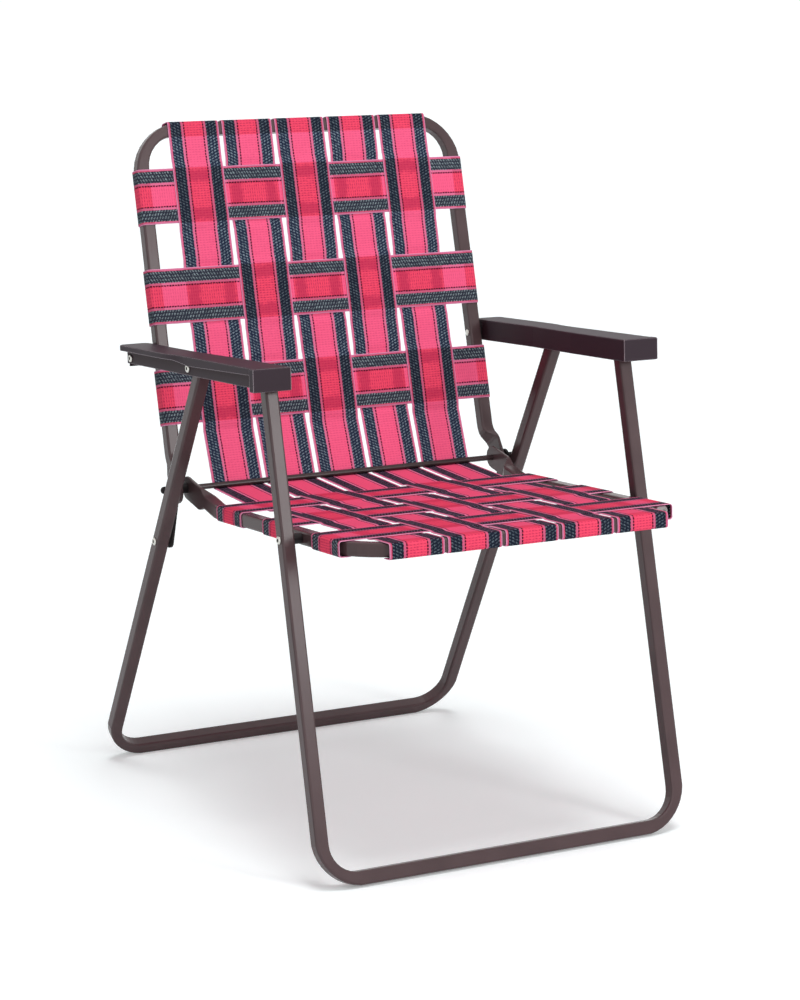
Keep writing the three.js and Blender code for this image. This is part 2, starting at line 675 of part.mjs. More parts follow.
// Wavy run of a long strap over and under the rows, from the end bar
function wovenRun(rows, strap, overOnEven) {
  const level = HALF_TUBE + STRAP_LIFT;
  return rows.flatMap((place, row) => {
    const start = place - ROW_MARGIN;
    const end = place + STRAP + ROW_MARGIN;
    const even = (strap + row) % 2 === 0;
    const crossing = level + (even === overOnEven ? LAYER : -LAYER);
    return [[start - RISE, level], [start, crossing], [end, crossing], [end + RISE, level]];
  }).map(([s, n]) => new THREE.Vector2(s, n));
}

// Long strap down the back, ending behind and under the rod
function backLongStrap(strap) {
  const radius = ROD_RADIUS + STRAP_LIFT;
  const run = [...tubeWrap(0), ...wovenRun(BACK_ROWS, strap, true)];
  const points = run.map((point) => BACK_PLANE.at(point.x, point.y));
  const away = points[points.length - 1].clone().sub(new THREE.Vector2(...PIVOT.hinge));
  const touch = away.angle() - Math.acos(radius / away.length());
  points.push(...arcPoints(...PIVOT.hinge, radius, touch, -Math.PI / 2, 4));
  return sideways(ribbon(points, STRAP)).translate(LONG_STRAPS[strap] + STRAP / 2, 0, 0);
}

// Long strap of the seat, from under the front bar to under the rod
function seatLongStrap(strap) {
  const run = [...tubeWrap(0), ...wovenRun(SEAT_ROWS, strap, false)];
  const points = run.map((point) => SEAT_PLANE.at(point.x, point.y));
  points.push(new THREE.Vector2(HINGE_Y - GAP, HINGE_Z - ROD_RADIUS - STRAP_LIFT));
  return sideways(ribbon(points, STRAP)).translate(LONG_STRAPS[strap] + STRAP / 2, 0, 0);
}

// Strap across a frame, round both side tubes
function crossStrap(surface, half, middle) {
  const left = tubeWrap(half);
  const right = left.map((point) => new THREE.Vector2(-point.x, point.y)).reverse();
  const across = new THREE.Vector3(1, 0, 0);
  const normal = new THREE.Vector3(0, surface.normal.x, surface.normal.y);
  const centre = surface.at(middle, 0);
  const basis = new THREE.Matrix4().makeBasis(across, normal, across.clone().cross(normal));
  return ribbon([...left, ...right], STRAP).applyMatrix4(basis).translate(0, centre.x, centre.y);
}

function addWebbing() {
  LONG_STRAPS.forEach((_, strap) => {
    addMesh(`back_strap_long_${strap + 1}`, backLongStrap(strap), 'webbing');
    addMesh(`seat_strap_long_${strap + 1}`, seatLongStrap(strap), 'webbing');
  });
  BACK_ROWS.forEach((start, row) => {
    const half = backHalfAt(BACK_PLANE.at(start + STRAP, 0).y);
    addMesh(`back_strap_cross_${row + 1}`, crossStrap(BACK_PLANE, half, start + STRAP / 2), 'webbing');
  });
  SEAT_ROWS.forEach((start, row) => {
    addMesh(`seat_strap_cross_${row + 1}`, crossStrap(SEAT_PLANE, SEAT_HALF, start + STRAP / 2), 'webbing');
  });
}

addLegFrames();
addBackFrame();
addSeatFrame();
addHinge();
addArmrests();
addRivets();
addWebbing();

// Puts the origin on the floor under the middle of the chair
const extent = new THREE.Box3().setFromObject(chair);
const middle = extent.getCenter(new THREE.Vector3());
for (const mesh of chair.children) {
  mesh.geometry.translate(-middle.x, -middle.y, -extent.min.z);
}

export default chair;
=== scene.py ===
# %% [markdown]
# # A folding lawn chair with woven webbing
#
# The chair is four bent tubes, two armrests, a rod, two links and eleven straps, joined by rivets.
# The tubes, armrests, rod and links arrive as exact solids, so here they only get their finish. The
# rivets and the rod's caps are turned again in more detail. The straps are made here too, because
# their whole look is in the weave: each one passes over and under the others, turns round a tube at
# its end, and lets a little of what lies behind it show through.
#
# Lengths are in millimetres until a mesh is made. The sitter faces -Y and +Z is up.

# %% Load the chair's solids
import json
import math

import bmesh
import bpy
import numpy as np
from mathutils import Matrix, Vector, noise


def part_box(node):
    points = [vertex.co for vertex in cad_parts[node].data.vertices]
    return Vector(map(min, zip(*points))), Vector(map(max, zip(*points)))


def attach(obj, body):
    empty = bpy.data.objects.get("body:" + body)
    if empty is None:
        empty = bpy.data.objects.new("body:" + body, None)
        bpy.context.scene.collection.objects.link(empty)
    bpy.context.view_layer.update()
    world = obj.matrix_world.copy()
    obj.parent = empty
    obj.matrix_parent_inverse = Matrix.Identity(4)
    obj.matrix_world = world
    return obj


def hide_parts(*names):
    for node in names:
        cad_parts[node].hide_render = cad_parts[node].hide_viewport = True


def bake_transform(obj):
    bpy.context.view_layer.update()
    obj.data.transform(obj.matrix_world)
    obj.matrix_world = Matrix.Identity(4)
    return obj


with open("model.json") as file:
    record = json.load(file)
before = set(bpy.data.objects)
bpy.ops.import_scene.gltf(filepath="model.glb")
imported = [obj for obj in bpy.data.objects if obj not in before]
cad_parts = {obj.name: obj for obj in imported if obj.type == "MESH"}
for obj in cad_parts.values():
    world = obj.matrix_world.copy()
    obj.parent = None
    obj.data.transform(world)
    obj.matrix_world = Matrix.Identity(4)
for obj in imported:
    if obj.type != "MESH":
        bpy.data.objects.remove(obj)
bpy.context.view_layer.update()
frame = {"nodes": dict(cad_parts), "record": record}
nodes = frame["nodes"]
MM = 0.001

# %% [markdown]
# ## The camera
#
# The photograph was taken from about 28 degrees to the left of the front and 11 degrees above,
# with a long lens from over three metres away. The lens and the place come from where the picture
# shows the floor bars and the pivots. The camera could be aimed by three angles, but a turn matrix
# is clearer: its columns are the camera's right, its up and the way back from what it looks at.

# %% Place the camera
CAMERA_PLACE = Vector((-1557.3, -2909.7, 1037.8)) * MM
CAMERA_BACK = Vector((-0.4647, -0.8631, 0.1976)).normalized()
CAMERA_LENS = 101.57
CAMERA_SENSOR = 36
CAMERA_SHIFT = -0.0042
CAMERA_REACH = 100

right = Vector((-CAMERA_BACK.y, CAMERA_BACK.x, 0)).normalized()
up = CAMERA_BACK.cross(right)
camera_turn = Matrix((right, up, CAMERA_BACK)).transposed().to_4x4()
camera = bpy.data.objects.new("camera", bpy.data.cameras.new("camera"))
camera.matrix_world = Matrix.Translation(CAMERA_PLACE) @ camera_turn
camera.data.sensor_width = CAMERA_SENSOR
camera.data.lens = CAMERA_LENS
camera.data.shift_y = CAMERA_SHIFT
camera.data.clip_end = CAMERA_REACH
bpy.context.scene.collection.objects.link(camera)
bpy.context.scene.camera = camera
looking = [round(-v, 3) for v in CAMERA_BACK]
print("camera at", [round(v, 3) for v in camera.location], "looking", looking)

# %% [markdown]
# ## Colours
#
# Colours are written here as on a paint chart, from 0 to 255. The shader wants linear values
# instead, in which twice the number is twice the light. The curve between the two is straight near
# black and a power above it. A colour picker would hide this step, but then the colours couldn't be
# written down and compared.

# %% Read a paint chart
FULL = 255
NEAR_BLACK = 10
TOE = 12.92
OFFSET = 0.055
POWER = 2.4


def linear(value):
    share = value / FULL
    if value <= NEAR_BLACK:
        return share / TOE
    return ((share + OFFSET) / (1 + OFFSET)) ** POWER


def paint_chart(red, green, blue):
    return (linear(red), linear(green), linear(blue), 1.0)


print("half way up the chart is", round(linear(FULL / 2), 2), "of the light")

# %% [markdown]
# ## Graphs of nodes
#
# Each finish is a small graph of nodes. It could be wired by hand in the shader editor, but a graph
# in code can be read, repeated and corrected. The first helpers add a node, fill its inputs and
# fill the shader. An input takes a number, a colour or the output of another node.

# %% Add nodes and fill their inputs
class Wiring:
    def __init__(self, name):
        self.material = bpy.data.materials.new(name)
        self.material.use_nodes = True
        self.tree = self.material.node_tree
        self.shader = self.tree.nodes["Principled BSDF"]

    def node(self, kind, settings=None, **inputs):
        made = self.tree.nodes.new(kind)
        for name, value in (settings or {}).items():
            setattr(made, name, value)
        for name, value in inputs.items():
            self.fill(made.inputs[name.replace("_", " ")], value)
        return made

    def fill(self, socket, value):
        if isinstance(value, bpy.types.NodeSocket):
            self.tree.links.new(value, socket)
        else:
            socket.default_value = value

    def finish(self, **sockets):
        for name, value in sockets.items():
            self.fill(self.shader.inputs[name.replace("_", " ")], value)
        return self.material


print("wiring:", ", ".join(name for name in vars(Wiring) if name[0] != "_"))

# %% [markdown]
# ## Sums for stripes
#
# Stripes, dashes and ribs are all sums on a place along or across a strap. A step rises smoothly
# from 0 to 1, a band rises and falls again, and a wave repeats. A value can also be shaken by a
# share of another one, so that a straight line becomes ragged.

# %% Sums that stripes are made of
class Sums(Wiring):
    def math(self, operation, first, second=0.0):
        made = self.node("ShaderNodeMath", {"operation": operation})
        self.fill(made.inputs[0], first)
        self.fill(made.inputs[1], second)
        return made.outputs[0]

    def times(self, first, second):
        return self.math("MULTIPLY", first, second)

    def scaled(self, value, times, plus=0.0):
        made = self.node("ShaderNodeMath", {"operation": "MULTIPLY_ADD"})
        self.fill(made.inputs[0], value)
        made.inputs[1].default_value = times
        made.inputs[2].default_value = plus
        return made.outputs[0]

    def shaken(self, value, shake, by, plus=0.0):
        return self.math("ADD", value, self.scaled(shake, by, plus))

    def step(self, value, zero_at, one_at):
        made = self.node("ShaderNodeMapRange", {"interpolation_type": "SMOOTHSTEP"})
        self.fill(made.inputs["Value"], value)
        made.inputs["From Min"].default_value = zero_at
        made.inputs["From Max"].default_value = one_at
        return made.outputs["Result"]

    def band(self, value, low, high, soft):
        rises = self.step(value, low - soft, low + soft)
        falls = self.step(value, high + soft, high - soft)
        return self.times(rises, falls)

    def wave(self, value, period):
        turns = self.times(value, 2 * math.pi / period)
        return self.scaled(self.math("SINE", turns), times=0.5, plus=0.5)

    def from_middle(self, across):
        return self.math("ABSOLUTE", self.scaled(across, times=2, plus=-1))


print("sums:", ", ".join(name for name in vars(Sums) if name[0] != "_"))

# %% [markdown]
# ## Colours and textures in a graph
#
# The last helpers mix two colours, add noise, read a map of the mesh and turn a height into a bump.
# The Mix node has a set of sockets for each kind of value, all with the same names, so its colour
# sockets are picked by number.

# %% Colours, textures and bumps
MIX_FIRST, MIX_SECOND, MIX_RESULT = 6, 7, 2


class Graph(Sums):
    def mix(self, share, first, second):
        made = self.node("ShaderNodeMix", {"data_type": "RGBA", "blend_type": "MIX"})
        self.fill(made.inputs["Factor"], share)
        self.fill(made.inputs[MIX_FIRST], first)
        self.fill(made.inputs[MIX_SECOND], second)
        return made.outputs[MIX_RESULT]

    def noise(self, vector, scale, detail):
        made = self.node("ShaderNodeTexNoise", Scale=scale, Detail=detail)
        self.fill(made.inputs["Vector"], vector)
        return made.outputs["Fac"]

    def place(self):
        return self.node("ShaderNodeTexCoord").outputs["Object"]

    def uv(self, name):
        made = self.node("ShaderNodeUVMap", {"uv_map": name})
        split = self.node("ShaderNodeSeparateXYZ", Vector=made.outputs[0])
        return split.outputs["X"], split.outputs["Y"]

    def bump(self, height, distance, strength):
        made = self.node("ShaderNodeBump", Height=height, Distance=distance, Strength=strength)
        self.fill(self.shader.inputs["Normal"], made.outputs["Normal"])


print("textures:", ", ".join(name for name in vars(Graph) if name[0] != "_"))

# %% [markdown]
# ## The webbing's stripes
#
# The webbing is woven polypropylene, 67 mm wide. Each strap carries the same stripes, mirrored about
# its middle: a hot-pink centre, a line of black dashes, a thin pink stripe, a dark band with pale
# flecks, and a pink edge. A picture of a strap could be wrapped on, but stripes that are worked out
# from the place on the strap stay sharp at any size. So each strap carries three maps: where a point
# lies on this strap, where it lies across the strap behind it, and whether it is on the seat's level
# top.
#
# The stripes are shares of the way from the strap's middle to its edge. A little speckle makes
# their borders ragged, as yarns are.

# %% Where the stripes lie
STRAP = 67.0
DASH_LINE = (0.355, 0.405)
THIN_STRIPE = (0.405, 0.485)
DARK_BAND = (0.485, 0.915)
EDGE_STARTS = (0.92, 0.945)
SELVAGE_STARTS = (0.968, 0.988)
SOFT = 0.012
DASH_SOFT = 0.01
RAGGED = 0.012
DASH = 3.6
DASH_RISE = (0.0, 0.25)


def stripes(g, from_middle, along, speckle):
    ragged = g.shaken(from_middle, speckle, by=RAGGED, plus=-RAGGED / 2)
    line = g.band(ragged, *DASH_LINE, soft=DASH_SOFT)
    return {
        "dark": g.band(ragged, *DARK_BAND, soft=SOFT),
        "thin": g.band(ragged, *THIN_STRIPE, soft=SOFT),
        "edge": g.step(ragged, *EDGE_STARTS),
        "selvage": g.step(from_middle, *SELVAGE_STARTS),
        "dashes": g.times(line, g.step(g.wave(along, DASH), *DASH_RISE)),
    }


print("a dark band is", round((DARK_BAND[1] - DARK_BAND[0]) * STRAP / 2, 1), "mm wide")

# %% [markdown]
# ## The weave
#
# Under the stripes lies the weave: ribs across the strap, yarns along it, and rows of flecks that
# slant away from the middle. They could be modelled, but at a few millimetres each a wave in the
# finish is enough. Two waves multiplied give the flecks. The speckle shakes the waves, so that no
# row is perfect.

# %% Waves for the weave
RIB = 3.0
RIB_SHAKE = 0.5
STREAK = 3.7
STREAK_SHAKE = 0.9
SLANT = 16.0
COLUMN = 4.2
COLUMN_SHAKE = 0.012
YARNS = 46


def weave(g, across, along, from_middle, speckle):
    lean = g.shaken(along, from_middle, by=SLANT)
    streaks = g.wave(g.shaken(lean, speckle, by=STREAK_SHAKE), STREAK)
    columns = g.wave(g.shaken(across, speckle, by=COLUMN_SHAKE), COLUMN / STRAP)
    return {
        "ribs": g.wave(g.shaken(along, speckle, by=RIB_SHAKE), RIB),
        "yarns": g.wave(across, 1 / YARNS),
        "columns": columns,
        "flecks": g.times(g.step(streaks, 0.4, 0.75), g.step(columns, 0.1, 0.5)),
    }


print(round(STRAP / COLUMN), "columns of flecks fit across a strap")

# %% [markdown]
# ## The pink yarns
#
# The weave is thin. A single layer against the light looks pale pink, two layers look redder, and
# the dark bands of the strap behind show as soft shadows. Real translucency would need many more
# samples for the same look, so the second map says where a strap lies behind, and the colour follows
# it. A grain of deeper pink runs along the ribs, and on the seat's level top a deeper pink is painted
# all over as shade.

# %% The pink yarns
PINK = paint_chart(250, 98, 140)
PINK_DOUBLED = paint_chart(243, 77, 107)
PINK_OVER_DARK = paint_chart(198, 56, 88)
PINK_GRAIN = paint_chart(184, 36, 78)
# The last pink is painted shade for the seat's level top.
PINK_SEAT_SHADE = paint_chart(214, 54, 88)


def shadow_from_behind(g, behind, covered, place):
    patches = g.noise(place, scale=170.0, detail=3.0)
    blurred = g.shaken(g.from_middle(behind), patches, by=0.3, plus=-0.15)
    return g.times(covered, g.band(blurred, *DARK_BAND, soft=0.1))


def pink_yarns(g, woven, shadow, covered, seat_top_shade, speckle):
    pink = g.mix(covered, PINK, PINK_DOUBLED)
    pink = g.mix(g.scaled(shadow, times=0.8), pink, PINK_OVER_DARK)
    on_rib = g.step(woven["ribs"], 0.35, 0.95)
    grain = g.times(on_rib, g.scaled(woven["columns"], times=0.45, plus=0.1))
    grain = g.shaken(grain, speckle, by=0.14)
    pink = g.mix(g.times(grain, g.scaled(covered, times=0.7, plus=0.5)), pink, PINK_GRAIN)
    # Painted shade: the seat's level top gets a deeper pink.
    return g.mix(g.scaled(seat_top_shade, times=0.4), pink, PINK_SEAT_SHADE)


print("pinks", [tuple(round(v, 2) for v in pink[:3]) for pink in (PINK, PINK_DOUBLED)])

# %% [markdown]
# ## The dark yarns
#
# The dark bands have a dark ground and paler flecks. Where a long strap has another behind it, less
# light comes through and both turn darker. On the seat's level top, a darker ground and duller flecks
# are painted in as shade.

# %% The dark yarns
# Painted shade for the seat's level top: a darker ground and duller flecks.
FLECK_SEAT_SHADE = paint_chart(128, 114, 138)
GROUND_SEAT_SHADE = paint_chart(34, 16, 32)


def dark_tone(g, colour, doubled, seat_shade_tone, covered, seat_top_shade):
    through_two = paint_chart(*[v * doubled for v in colour])
    return g.mix(seat_top_shade, g.mix(covered, paint_chart(*colour), through_two), seat_shade_tone)


def dark_yarns(g, fleck, ground, doubled, woven, covered, seat_top_shade, speckle):
    bright = dark_tone(g, fleck, doubled, FLECK_SEAT_SHADE, covered, seat_top_shade)
    deep = dark_tone(g, ground, doubled, GROUND_SEAT_SHADE, covered, seat_top_shade)
    return g.mix(g.times(woven["flecks"], g.scaled(speckle, times=0.45, plus=0.2)), deep, bright)


print("flecks on the seat", tuple(round(v, 2) for v in FLECK_SEAT_SHADE[:3]))

# %% [markdown]
# ## The webbing's finish
#
# The stripes are laid over each other like coats of paint: first pink, then the dark bands, the thin
# stripe, the edge, its pale selvage and the dashes. The straps across are a little greyer than the
# long ones and don't darken where they are doubled, so the finish is made twice.

# %% Put the webbing's finish together
THIN_PINK = (paint_chart(224, 112, 150), paint_chart(204, 92, 126))
EDGE_PINK = (paint_chart(212, 116, 152), paint_chart(196, 98, 134))
SELVAGE_PINK = paint_chart(228, 150, 184)
DASH_BLACK = paint_chart(58, 18, 36)


def webbing_finish(name, fleck, ground, doubled):
    g = Graph(name)
    across, along = g.uv("Strap")
    behind, covered = g.uv("Behind")
    seat_top_shade = g.uv("Seat top shade")[0]
    place = g.place()
    speckle = g.step(g.noise(place, scale=420.0, detail=3.0), 0.36, 0.64)
    from_middle = g.from_middle(across)
    stripe = stripes(g, from_middle, along, speckle)
    woven = weave(g, across, along, from_middle, speckle)
    shadow = shadow_from_behind(g, behind, covered, place)

    colour = pink_yarns(g, woven, shadow, covered, seat_top_shade, speckle)
    dark = dark_yarns(g, fleck, ground, doubled, woven, covered, seat_top_shade, speckle)
    colour = g.mix(stripe["dark"], colour, dark)
    colour = g.mix(stripe["thin"], colour, g.mix(covered, *THIN_PINK))
    colour = g.mix(stripe["edge"], colour, g.mix(covered, *EDGE_PINK))
    colour = g.mix(stripe["selvage"], colour, SELVAGE_PINK)
    colour = g.mix(stripe["dashes"], colour, DASH_BLACK)

    height = g.shaken(g.scaled(woven["ribs"], times=0.6), woven["yarns"], by=0.4)
    g.bump(height, distance=0.25 * MM, strength=0.7)
    return g.finish(Base_Color=colour, Roughness=0.8, Specular_IOR_Level=0.06)


WEBBING = {
    "long": webbing_finish("webbing along", (152, 172, 186), (36, 44, 64), doubled=0.72),
    "across": webbing_finish("webbing across", (160, 178, 184), (47, 50, 62), doubled=1.0),
}
print("webbing finishes with", len(WEBBING["long"].node_tree.nodes), "nodes each")

# %% [markdown]
# ## Layers on a tube
#
# The straps are tape, 1 mm thick, on square tube. They keep a hair's breadth from the tube and from
# each other, so that nothing cuts into its neighbour.

# %% Layers on a tube
THICK = 1.0
GAP = 0.3
HALF_TUBE = 8.0
TUBE_CORNER = 2.5
LIFT = GAP + THICK / 2
LEVEL = HALF_TUBE + LIFT
LAYER = THICK + GAP
print("a strap's middle lies", LEVEL, "mm from the tube's middle, and layers", LAYER, "mm apart")

# %% [markdown]
# ## Where the straps run
#
# The straps follow three pieces that the solids already place: the rod at the hinge, the line of the
# back tubes and the line of the seat tubes. Every point could be typed in room coordinates, but a
# strap is easier to draw on a flat panel with two directions of its own: along it, away from the bar
# that the long straps start from, and out of it, towards the sitter. A path is drawn with those two
# numbers and turned into a place in the room at the end.

# %% A flat panel and its own directions
def centre(node):
    low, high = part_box(node)
    return (low + high) / 2 / MM


class Panel:
    def __init__(self, start, slope, side, rows):
        self.start = Vector((0, *start))
        self.along = Vector((0, *slope)).normalized()
        self.out = Vector((0, -self.along.z, self.along.y)) * side
        self.rows = rows

    def at(self, x, along, out):
        return self.start + Vector((x, 0, 0)) + self.along * along + self.out * out

    def measure(self, point):
        offset = point - self.start
        return offset.dot(self.along), offset.dot(self.out)


ROD = centre("cross_rod")
SEAT_PIVOT = centre("seat_rivet_right")
print("rod at", [round(v, 1) for v in ROD], "seat pivot at", [round(v, 1) for v in SEAT_PIVOT])

# %% [markdown]
# ## The back and the seat
#
# The back's panel leans back and its line passes behind the rod. The seat's panel falls a little
# towards the rear. On each lie three straps across, and five long straps run over both. Rows are
# measured from the bar where a panel starts.

# %% Lay out the back and the seat
ROWS = 3
BACK_SLOPE = 0.257
BACK_HEIGHT = 415.9
BACK_BEHIND_ROD = 22.6
BACK_ROWS = (47.8, 290.386)
SEAT_SLOPE = -0.057
SEAT_REACH = 132.87
SEAT_ROWS = (37.4, 285.787)
LONG_STRAPS = 5
OUTER_STRAP = 143.6


def evenly(first, last, count):
    return [first + (last - first) * k / (count - 1) for k in range(count)]


back_top = (ROD.y + BACK_BEHIND_ROD + BACK_SLOPE * BACK_HEIGHT, ROD.z + BACK_HEIGHT)
back = Panel(back_top, (-BACK_SLOPE, -1), -1, evenly(*BACK_ROWS, ROWS))
seat_front = (SEAT_PIVOT.y - SEAT_REACH, SEAT_PIVOT.z - SEAT_SLOPE * SEAT_REACH)
seat = Panel(seat_front, (1, SEAT_SLOPE), 1, evenly(*SEAT_ROWS, ROWS))
LONG_X = evenly(-OUTER_STRAP, OUTER_STRAP, LONG_STRAPS)
print("back starts at", [round(v, 1) for v in back.start], "seat at", [round(v, 1) for v in seat.start])

# %% [markdown]
# ## The cross-section of a strap
#
# A strap is a flat strip that is swept along its path. Its edges are rounded, so that they catch the
# light as woven tape does: the points stand closer together there and the strip gets thinner. A
# plain rectangle would need fewer points, but its edge looks cut from sheet.

# %% The strap's cross-section
EDGE_SHARES = [0.975, 0.994, 1]
EDGE_THICKNESS = [1.0, 0.8, 0.35]
FLAT_PARTS = 12

flat_shares = [k / FLAT_PARTS for k in range(1 - FLAT_PARTS, FLAT_PARTS)]
across_shares = [-share for share in EDGE_SHARES[::-1]] + flat_shares + EDGE_SHARES
thickness = EDGE_THICKNESS[::-1] + [1.0] * len(flat_shares) + EDGE_THICKNESS
ROUND_SHARES = (np.array(across_shares + across_shares[::-1]) + 1) / 2
ROUND_THICK = THICK / 2 * np.array(thickness + [-share for share in thickness[::-1]])
print(len(across_shares), "points across a strap")

# %% [markdown]
# ## Faces and maps
#
# Rings of points joined by faces make a strap, and later a rivet too. A map holds two numbers for
# each corner of each face. It belongs to the corners and not to the points, and faces end exactly
# where the strap behind begins, so the look-through has a crisp edge.

# %% Join rings and write maps
def ring_faces(rings, count):
    here = np.arange((rings - 1) * count).reshape(rings - 1, count)
    beside = np.roll(here, -1, axis=1)
    sides = np.stack([here, beside, beside + count, here + count], axis=-1).reshape(-1, 4)
    start = list(range(count))[::-1]
    end = list(range((rings - 1) * count, rings * count))
    return sides.tolist() + [start, end]


def ring_to_ring(starts, ends):
    corners = np.stack([starts, starts, ends, ends], -1)[:, None]
    return np.broadcast_to(corners, (len(starts), len(ROUND_SHARES), 4))


def write_map(mesh, name, first, second, caps):
    corners = np.stack([first, second], axis=-1).reshape(-1, 2)
    layer = mesh.uv_layers.new(name=name)
    layer.data.foreach_set("uv", np.concatenate([corners, caps]).ravel())


def write_strap_map(mesh, lengths):
    beside = np.roll(ROUND_SHARES, -1)
    corners = np.stack([ROUND_SHARES, beside, beside, ROUND_SHARES], -1)
    across = np.broadcast_to(corners, (len(lengths) - 1, *corners.shape))
    along = ring_to_ring(lengths[:-1], lengths[1:])
    cap_shares = np.concatenate([ROUND_SHARES[::-1], ROUND_SHARES])
    cap_lengths = np.repeat([0.0, lengths[-1]], len(ROUND_SHARES))
    write_map(mesh, "Strap", across, along, np.stack([cap_shares, cap_lengths], -1))


print("two rings of three points make", len(ring_faces(2, 3)), "faces with their caps")

# %% [markdown]
# ## Sweep a strap along its path
#
# The sweep keeps the strip's width direction fixed and turns only its face, because webbing under
# tension bends round a tube but doesn't twist. A curve with a bevel would do this too, but it has no
# such maps and twists at tight bends. Real straps are never quite straight, so each one wanders
# sideways by up to a third of a millimetre, by smooth noise that is the same in every run. The seat's
# level top is where the face looks nearly straight up or down, not far above the seat's pivot.

# %% Sweep a strap
WANDER = 0.35
WANDER_LENGTH = 70.0
LEVEL_FACE = 0.85
ABOVE_PIVOT = 60


def strap_points(name, points, lengths, face, width_way):
    seed = (len(name), points[0].sum())
    drift = [WANDER * noise.noise(Vector((s / WANDER_LENGTH, *seed))) for s in lengths]
    sideways = (ROUND_SHARES - 0.5) * STRAP + np.array(drift)[:, None]
    across = sideways[..., None] * np.array(width_way)
    return points[:, None] + across + ROUND_THICK[None, :, None] * face[:, None]


def sweep(name, path, width_way, behind, webbing):
    points = np.array([tuple(p) for p in path])
    lengths = np.concatenate([[0.0], np.cumsum(np.linalg.norm(np.diff(points, axis=0), axis=1))])
    face = np.cross(width_way, np.gradient(points, axis=0))
    face /= np.linalg.norm(face, axis=1, keepdims=True)
    grid = strap_points(name, points, lengths, face, width_way)
    mesh = bpy.data.meshes.new(name)
    mesh.from_pydata((grid.reshape(-1, 3) * MM).tolist(), [], ring_faces(*grid.shape[:2]))

    write_strap_map(mesh, lengths)
    no_caps = np.zeros((2 * len(ROUND_SHARES), 2))
    first, last, covered = np.array([behind(a, b) for a, b in zip(path, path[1:])]).T
    write_map(mesh, "Behind", ring_to_ring(first, last), ring_to_ring(covered, covered), no_caps)
    # The seat's level top is mapped here, where the shade is painted.
    low = points[:, 2] < SEAT_PIVOT.z + ABOVE_PIVOT
    level = ((np.abs(face[:, 2]) > LEVEL_FACE) & low).astype(float)
    seat_top_shade = ring_to_ring(level[:-1], level[1:])
    write_map(mesh, "Seat top shade", seat_top_shade, seat_top_shade, no_caps)

    mesh.polygons.foreach_set("use_smooth", [True] * len(mesh.polygons))
    mesh.materials.append(webbing)
    strap = bpy.data.objects.new(name, mesh)
    bpy.context.scene.collection.objects.link(strap)
    return strap, lengths[-1]


print("straps wander by up to", WANDER, "mm")

# %% [markdown]
# ## Round a tube, over and under
#
# Paths are drawn in pieces, by two numbers a point. A strap starts behind a tube, comes round its two
# corners and then goes over or under each row. Where it changes layer it follows a smooth ease, as
# tape under tension does.

# %% Pieces of a path
TAIL = 5.0
AT_BACK, AT_SIDE, AT_FRONT = 1.5 * math.pi, math.pi, 0.5 * math.pi
CORNER_STEPS = 6
RISE = 10.0
ROOM = 1
EASE_STEPS = 5
FLAT_STEPS = 12


def arc(middle, radius, start, end, steps):
    turns = [start + (end - start) * k / steps for k in range(steps + 1)]
    return [(middle[0] + radius * math.cos(a), middle[1] + radius * math.sin(a)) for a in turns]


def round_tube(half):
    radius = TUBE_CORNER + LIFT
    corner = HALF_TUBE - TUBE_CORNER
    return [
        (-half + TAIL, -HALF_TUBE - LIFT),
        *arc((-half - corner, -corner), radius, AT_BACK, AT_SIDE, CORNER_STEPS),
        *arc((-half - corner, corner), radius, AT_SIDE, AT_FRONT, CORNER_STEPS),
    ]


def change_layer(start, before, after):
    shares = [k / EASE_STEPS for k in range(EASE_STEPS + 1)]
    eased = [share * share * (3 - 2 * share) for share in shares]
    return [(start + RISE * s, before + (after - before) * e) for s, e in zip(shares, eased)]


def over_and_under(rows, strap, over_on_even):
    points = []
    for row, start in enumerate(rows):
        over = ((strap + row) % 2 == 0) == over_on_even
        crossing = LEVEL + (LAYER if over else -LAYER)
        points += change_layer(start - ROOM - RISE, LEVEL, crossing)
        points += [(start + STRAP * k / FLAT_STEPS, crossing) for k in range(FLAT_STEPS + 1)]
        points += change_layer(start + STRAP + ROOM, crossing, LEVEL)
    return points


print(len(over_and_under(back.rows, 0, True)), "points over and under the back's rows")

# %% [markdown]
# ## The path of a long strap
#
# A long strap is one piece on the real chair. It starts behind the top bar, comes over it, weaves
# down the back, goes behind the rod and under it, weaves forward over the seat and ends under the
# front bar. Between the back and the rod it runs straight, so it meets the rod where that line
# touches it. At the end the gaps between the points are filled in, so that no face is long.

# %% Draw a long strap's path
STEP = 4.0
ROD_RADIUS = 3.5
ROD_STEPS = 10
STRAIGHT_DOWN = -0.5 * math.pi


def fill_in(points, step):
    filled = [points[0]]
    for before, after in zip(points, points[1:]):
        count = max(1, round((after - before).length / step))
        filled += [before.lerp(after, k / count) for k in range(1, count + 1)]
    return filled


def long_path(strap):
    x = LONG_X[strap]
    upper = [back.at(x, s, n) for s, n in round_tube(0) + over_and_under(back.rows, strap, True)]
    lower = [seat.at(x, s, n) for s, n in round_tube(0) + over_and_under(seat.rows, strap, False)]
    radius = ROD_RADIUS + LIFT
    away = upper[-1] - Vector((x, ROD.y, ROD.z))
    touch = math.atan2(away.z, away.y) - math.acos(radius / away.length)
    turn = arc((ROD.y, ROD.z), radius, touch, STRAIGHT_DOWN, ROD_STEPS)
    return fill_in(upper + [Vector((x, y, z)) for y, z in turn] + lower[::-1], STEP)


print(len(long_path(0)), "rings in a long strap")

# %% [markdown]
# ## What lies behind a long strap
#
# For each face along a strap, the second map needs to know what is behind it: a strap across, the
# tube, or nothing. The answer is three numbers: the shares across the hidden strap at the face's two
# ends, and whether anything is there at all.

# %% Look behind a long strap
TUBE_BEHIND = (0.5, 0.5, 1)
NOTHING_BEHIND = (0.5, 0.5, 0)
NEAR_TUBE = 1


